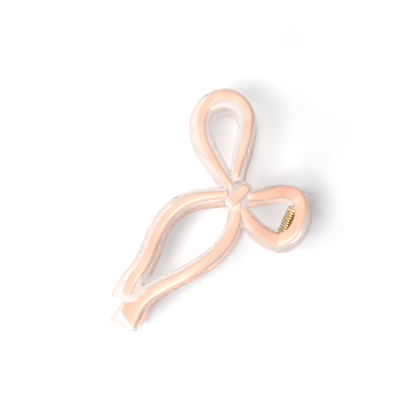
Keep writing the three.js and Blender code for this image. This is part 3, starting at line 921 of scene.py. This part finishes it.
def moulding_group():
    """The slow ripple and fine orange peel of a moulded surface, as a height."""
    tree, given, result = new_group(
        "Moulding Ripple",
        "ShaderNodeTree",
        (("Ripple", "NodeSocketFloat", 1.0), ("Peel", "NodeSocketFloat", 0.2)),
        (("Height", "NodeSocketFloat", None),),
    )
    place = object_place(tree)
    peel = maths(tree, "MULTIPLY", noise(tree, place, 1500.0, 2.0), given["Peel"])
    height = maths(tree, "MULTIPLY_ADD", noise(tree, place, 160.0, 1.0), given["Ripple"], peel)
    feed(tree, result["Height"], height)
    return tree


def new_material(name, **values):
    """A material with its Principled BSDF, the given inputs of which are set, and its output."""
    material = bpy.data.materials.new(name)
    material.use_nodes = True
    tree = material.node_tree
    shader = tree.nodes["Principled BSDF"]
    for label, value in values.items():
        shader.inputs[label.replace("_", " ")].default_value = value
    return material, tree, shader, tree.nodes["Material Output"]


def use_group(tree, group, **values):
    """A shader node group in a material, with its values set."""
    node = add_node(tree, "ShaderNodeGroup", node_tree=group)
    for name, value in values.items():
        node.inputs[name.replace("_", " ")].default_value = value
    return node.outputs


def rough_by_marks(tree, shader, marks, base, smudge, scratch):
    """Roughness: a base, more under smudges and along scratches."""
    smudged = maths(tree, "MULTIPLY_ADD", marks["Smudges"], smudge, base)
    feed(tree, shader.inputs["Roughness"], maths(tree, "MULTIPLY_ADD", marks["Scratches"], scratch, smudged))


def bump(tree, shader, height, reach, strength):
    inputs = {"Strength": strength, "Distance": reach, "Height": height}
    feed(tree, shader.inputs["Normal"], add_node(tree, "ShaderNodeBump", inputs).outputs[0])


def paler_nearby(tree, pigment):
    """A colour that lights what lies around it as a neutral one would."""
    on_others = tree.nodes.new("ShaderNodeLightPath").outputs["Is Diffuse Ray"]
    return blend(tree, on_others, pigment, (0.9, 0.9, 0.9))


def edge_on(tree, power):
    """A mask that rises where a surface turns away from the viewer."""
    facing = add_node(tree, "ShaderNodeLayerWeight", {"Blend": 0.5}).outputs["Facing"]
    return maths(tree, "POWER", facing, power)


def clear_material(name, finish, groups, clearness):
    """Clear, faintly blushed plastic that lets light through to what is under it, with a painted reflection
    of the peach bands where it is seen edge on.
    """
    material, tree, shader, output = new_material(name, Transmission_Weight=clearness, IOR=1.46, Metallic=0.0)
    marks = use_group(tree, groups["handling"], Scale=1.0, Scratch_Width=0.02)
    ripple = use_group(tree, groups["moulding"], Ripple=1.0, Peel=0.04)
    paler = [min(channel * 1.03, 1.0) for channel in finish.clear]
    tint = blend(tree, noise(tree, object_place(tree), 120.0, 2.0), finish.clear, paler)
    # Painted reflection: the tint turns peach where the surface is seen edge on, standing in for the bands
    # seen through the plastic's edges
    painted_rim = blend(tree, edge_on(tree, 2.2), tint, finish.clear_edge_painted_reflection)
    feed(tree, shader.inputs["Base Color"], paler_nearby(tree, painted_rim))
    rough_by_marks(tree, shader, marks, 0.06, 0.04, 0.15)
    bump(tree, shader, ripple["Height"], 0.03 * MM, 0.5)
    lit = tree.nodes.new("ShaderNodeLightPath").outputs["Is Shadow Ray"]
    through_it = add_node(tree, "ShaderNodeBsdfTransparent", {"Color": (0.89, 0.89, 0.89, 1.0)}).outputs[0]
    mix = add_node(tree, "ShaderNodeMixShader", {0: lit, 1: shader.outputs[0], 2: through_it})
    feed(tree, output.inputs["Surface"], mix.outputs[0])
    return material


def band_material(finish, groups):
    """Opaque glossy peach plastic, a little cloudy in its pigment."""
    material, tree, shader, _ = new_material(
        "Peach plastic", Specular_IOR_Level=0.5, Coat_Weight=0.5, Coat_Roughness=0.06
    )
    marks = use_group(tree, groups["handling"], Scale=1.0, Scratch_Width=0.02)
    ripple = use_group(tree, groups["moulding"], Ripple=1.0, Peel=0.1)
    cloud = ramp(tree, noise(tree, object_place(tree), 75.0, 3.0), 0.35, 0.65)
    pigment = blend(tree, cloud, finish.band_light, finish.band_deep)
    feed(tree, shader.inputs["Base Color"], paler_nearby(tree, pigment))
    rough_by_marks(tree, shader, marks, 0.28, 0.1, 0.2)
    bump(tree, shader, ripple["Height"], 0.04 * MM, 0.5)
    return material


def painted_coil_shade(tree, coil_radius):
    """A mask of the spring's inner side, up to just outside the middle of its wire, where painted shade
    darkens the gaps between its turns.
    """
    from_hinge = vector_maths(tree, "SUBTRACT", object_place(tree), HINGE)
    around = vector_maths(tree, "MULTIPLY", from_hinge, (0.0, 1.0, 1.0))
    radius = add_node(tree, "ShaderNodeVectorMath", {0: around}, operation="LENGTH").outputs["Value"]
    crest = ramp(tree, radius, coil_radius + 0.12 * MM, coil_radius + 0.4 * MM, "SMOOTHSTEP")
    return maths(tree, "SUBTRACT", 1.0, crest)


def metal_material(name, finish, groups, roughness, coil_radius=None):
    """Bright brass plating with toned patches, the marks of drawing, and painted shade: a dark reflection
    where it is seen edge on and, on a coil, shade between its turns.
    """
    material, tree, shader, _ = new_material(name, Metallic=1.0)
    marks = use_group(tree, groups["handling"], Scale=2.0, Scratch_Width=0.05)
    patches = ramp(tree, noise(tree, object_place(tree), 420.0, 3.0), 0.5, 0.8)
    tone = blend(tree, maths(tree, "MULTIPLY", patches, 0.6), finish.brass, finish.brass_dark)
    # Painted shade and dark reflection: the brass goes dark brown edge on and on the coil's inner side
    dark = edge_on(tree, 1.6)
    if coil_radius:
        dark = maths(tree, "MAXIMUM", dark, painted_coil_shade(tree, coil_radius))
    feed(tree, shader.inputs["Base Color"], blend(tree, dark, tone, finish.brass_painted_shade))
    rough_by_marks(tree, shader, marks, roughness, 0.08, 0.2)
    bump(tree, shader, marks["Scratches"], 0.01 * MM, 0.3)
    return material


def shared(kind, name, make, *inputs):
    """A material or node group by name, made the first time that it is asked for."""
    found = getattr(bpy.data, kind).get(name)
    return found if found else make(*inputs)


def shader_groups():
    return {
        "handling": shared("node_groups", "Handling Marks", handling_group),
        "moulding": shared("node_groups", "Moulding Ripple", moulding_group),
    }


def clear_plastic(settings, name="Clear plastic", clearness=0.66):
    return shared("materials", name, clear_material, name, settings.finish, shader_groups(), clearness)


def peach_plastic(settings):
    return shared("materials", "Peach plastic", band_material, settings.finish, shader_groups())


def brass(settings, name, *looks):
    return shared("materials", name, metal_material, name, settings.finish, shader_groups(), *looks)


def trees():
    return {
        "ribbon": shared("node_groups", "Ribbon Sweep", ribbon_tree),
        "teeth": shared("node_groups", "Teeth", teeth_tree),
        "spring": shared("node_groups", "Torsion Spring", spring_tree),
    }


def place_piece(name, mesh, body, node):
    """Puts a finished mesh on a body in place of its CAD node."""
    mesh.name = name
    piece = new_object(name, mesh)
    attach(piece, body)
    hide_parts(node)
    return piece


# ---- Operators ----
class CLAWCLIP_OT_bows(bpy.types.Operator):
    """Add the two clear moulded bows with their teeth and lugs"""

    bl_idname = "claw_clip.bows"
    bl_label = "Add Bows"

    def execute(self, context):
        settings = context.scene.claw_clip
        material = clear_plastic(settings)
        for jaw in JAWS:
            mesh = finish_mesh(bow_mesh(jaw, trees(), settings, material), jaw, 50.0)
            place_piece(f"{jaw}_bow", mesh, f"{jaw}_jaw", f"{jaw}_shell")
        return {"FINISHED"}


class CLAWCLIP_OT_bands(bpy.types.Operator):
    """Add the coloured bands let into the ribbons"""

    bl_idname = "claw_clip.bands"
    bl_label = "Add Bands"

    def execute(self, context):
        settings = context.scene.claw_clip
        material = peach_plastic(settings)
        for jaw in JAWS:
            for name, ribbon in RIBBONS.items():
                mesh = finish_mesh(band_mesh(trees()["ribbon"], ribbon, settings.bow, material), jaw, 50.0)
                place_piece(f"{jaw}_{name}_band", mesh, f"{jaw}_jaw", f"{jaw}_{name}_core")
        return {"FINISHED"}


class CLAWCLIP_OT_knots(bpy.types.Operator):
    """Add the clear sleeve and the coloured stripe over each knot"""

    bl_idname = "claw_clip.knots"
    bl_label = "Add Knots"

    def execute(self, context):
        settings = context.scene.claw_clip
        knot = settings.knot
        level = surface_height(KNOT_CENTRE[1]) * MM
        top = level + settings.bow.half_thickness + knot.height
        folds = [(at * MM, FOLD_SPREAD * MM, FOLD_DEPTH * MM) for at in FOLD_PLACES]
        for jaw in JAWS:
            low, high = top - STRIPE_DEPTH * MM, top + STRIPE_CROWN * MM
            stripe = pillow(knot.stripe_length, knot.stripe_width, low, high, STRIPE_END_SQUARENESS)
            set_material(stripe, peach_plastic(settings))
            name = f"{jaw}_knot_stripe"
            place_piece(name, finish_mesh(stripe, jaw), f"{jaw}_jaw", f"{jaw}_knot_core")
            foot = level + SLEEVE_FOOT * MM
            sleeve = pillow(knot.length, knot.width, foot, top, SLEEVE_END_SQUARENESS, folds)
            set_material(sleeve, clear_plastic(settings, "Clear sleeve", 0.85))
            name = f"{jaw}_knot_sleeve"
            place_piece(name, finish_mesh(sleeve, jaw), f"{jaw}_jaw", f"{jaw}_knot_wrap")
        return {"FINISHED"}


class CLAWCLIP_OT_pin(bpy.types.Operator):
    """Add the hinge pin with its two heads"""

    bl_idname = "claw_clip.pin"
    bl_label = "Add Hinge Pin"

    def execute(self, context):
        settings = context.scene.claw_clip
        radius = settings.hinge.pin_radius
        half = (LUG_INNER["rear"] + HEAD_PLAY) * MM + settings.hinge.lug_thickness
        head = HEAD_RADIUS * MM
        ease = HEAD_EASE * MM
        end = half + HEAD_THICKNESS * MM
        right = (
            (half, radius), (half, head - ease), (half + ease, head), (end - ease, head),
            (end - ease * 0.3, head - ease * 0.3), (end, head - ease), (end + 0.1 * MM, head * 0.4),
        )
        mesh = revolved([(-x, r) for x, r in reversed(right)] + list(right))
        mesh.transform(Matrix.Translation(HINGE_IN_PLAN * MM))
        set_material(mesh, brass(settings, "Plated pin", 0.2))
        place_piece("hinge_axle", finish_mesh(mesh), "rear_jaw", "hinge_pin")
        return {"FINISHED"}


class CLAWCLIP_OT_spring(bpy.types.Operator):
    """Add the torsion spring, fixed in one shape; on the real clip it winds up as the jaws open"""

    bl_idname = "claw_clip.spring"
    bl_label = "Add Spring"

    def execute(self, context):
        settings = context.scene.claw_clip
        hinge = settings.hinge
        holder = new_object("holder", bpy.data.meshes.new("holder"))
        values = {
            "Wire Diameter": hinge.wire,
            "Coil Radius": hinge.coil_radius,
            "Turns": hinge.turns,
            "Pitch": hinge.pitch,
            "Leg Length": hinge.leg_length,
            "Leg Lean": hinge.leg_lean,
            "Middle": HINGE_IN_PLAN * MM,
            "Material": brass(settings, "Brass wire", 0.16, hinge.coil_radius),
        }
        mesh = finish_mesh(run_geometry_nodes(holder, trees()["spring"], values))
        forget(holder)
        mesh.name = "coil_spring"
        piece = new_object("coil_spring", mesh)
        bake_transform(piece)
        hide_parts("torsion_spring")
        return {"FINISHED"}


class CLAWCLIP_OT_stage(bpy.types.Operator):
    """Add the floor, the lights and the camera"""

    bl_idname = "claw_clip.stage"
    bl_label = "Add Stage"

    def execute(self, context):
        stage = context.scene.claw_clip.stage
        self.add_camera(context, stage)
        self.add_floor(stage)
        self.add_lights(context, stage)
        return {"FINISHED"}

    def add_camera(self, context, stage):
        data = bpy.data.cameras.new("Camera")
        data.lens = stage.focal_length
        data.sensor_width = 36.0
        data.clip_start = 0.01
        camera = bpy.data.objects.new("Camera", data)
        camera.location = ORIGIN + CAMERA_PLACE * MM
        camera.rotation_euler = tuple(math.radians(angle) for angle in CAMERA_TURN)
        context.scene.collection.objects.link(camera)
        context.scene.camera = camera

    def add_floor(self, stage):
        half = FLOOR_HALF
        body = bmesh.new()
        corners = ((-half, -half), (half, -half), (half, half), (-half, half))
        body.faces.new([body.verts.new((x, y, 0.0)) for x, y in corners])
        mesh = to_mesh(body, "floor")
        material, tree, shader, _ = new_material("Floor", Roughness=0.85, Specular_IOR_Level=0.2)
        darker = [channel * 0.985 for channel in stage.floor]
        tone = blend(tree, noise(tree, object_place(tree), 900.0, 3.0), stage.floor, darker)
        feed(tree, shader.inputs["Base Color"], tone)
        set_material(mesh, material)
        new_object("floor", mesh)

    def add_lights(self, context, stage):
        turn = context.scene.camera.rotation_euler.to_matrix()
        for name, (direction, far, size, power) in LIGHTS.items():
            light = bpy.data.lights.new(name, "AREA")
            light.shape = "DISK"
            light.size = size
            light.energy = getattr(stage, power)
            lamp = bpy.data.objects.new(name, light)
            towards = (turn @ Vector(direction)).normalized()
            lamp.location = LIT_POINT + towards * far
            lamp.rotation_euler = towards.to_track_quat("Z", "Y").to_euler()
            context.scene.collection.objects.link(lamp)
        world = bpy.data.worlds.new("Studio")
        world.use_nodes = True
        tree = world.node_tree
        ray = tree.nodes.new("ShaderNodeLightPath").outputs
        bent = maths(tree, "MAXIMUM", ray["Is Glossy Ray"], ray["Is Transmission Ray"])
        strength = maths(tree, "MULTIPLY_ADD", bent, stage.tent - stage.sky, stage.sky)
        background = tree.nodes["Background"]
        background.inputs["Color"].default_value = (1.0, 1.0, 1.0, 1.0)
        feed(tree, background.inputs["Strength"], strength)
        context.scene.world = world
        context.scene.view_settings.view_transform = "Standard"
        for name, value in BOUNCES.items():
            setattr(context.scene.cycles, name, value)


class CLAWCLIP_PT_panel(bpy.types.Panel):
    """Claw clip tools in the 3D view's sidebar"""

    bl_idname = "CLAWCLIP_PT_panel"
    bl_label = "Claw Clip"
    bl_space_type = "VIEW_3D"
    bl_region_type = "UI"
    bl_category = "Claw Clip"

    def draw(self, context):
        settings = context.scene.claw_clip
        for group in (settings.bow, settings.knot, settings.hinge, settings.finish, settings.stage):
            box = self.layout.box()
            for name in group.__annotations__:
                box.prop(group, name)
        for operator in OPERATORS:
            self.layout.operator(operator.bl_idname)


OPERATORS = (
    CLAWCLIP_OT_stage,
    CLAWCLIP_OT_bows,
    CLAWCLIP_OT_bands,
    CLAWCLIP_OT_knots,
    CLAWCLIP_OT_pin,
    CLAWCLIP_OT_spring,
)
GROUPS = (ClawClipBow, ClawClipKnot, ClawClipHinge, ClawClipFinish, ClawClipStage, ClawClipSettings)


def register():
    for cls in (*GROUPS, *OPERATORS, CLAWCLIP_PT_panel):
        bpy.utils.register_class(cls)
    bpy.types.Scene.claw_clip = bpy.props.PointerProperty(type=ClawClipSettings)


def unregister():
    del bpy.types.Scene.claw_clip
    for cls in reversed((*GROUPS, *OPERATORS, CLAWCLIP_PT_panel)):
        bpy.utils.unregister_class(cls)


def main():
    register()
    for name in ("stage", "bows", "bands", "knots", "pin", "spring"):
        getattr(bpy.ops.claw_clip, name)()


if __name__ == "__main__":
    main()
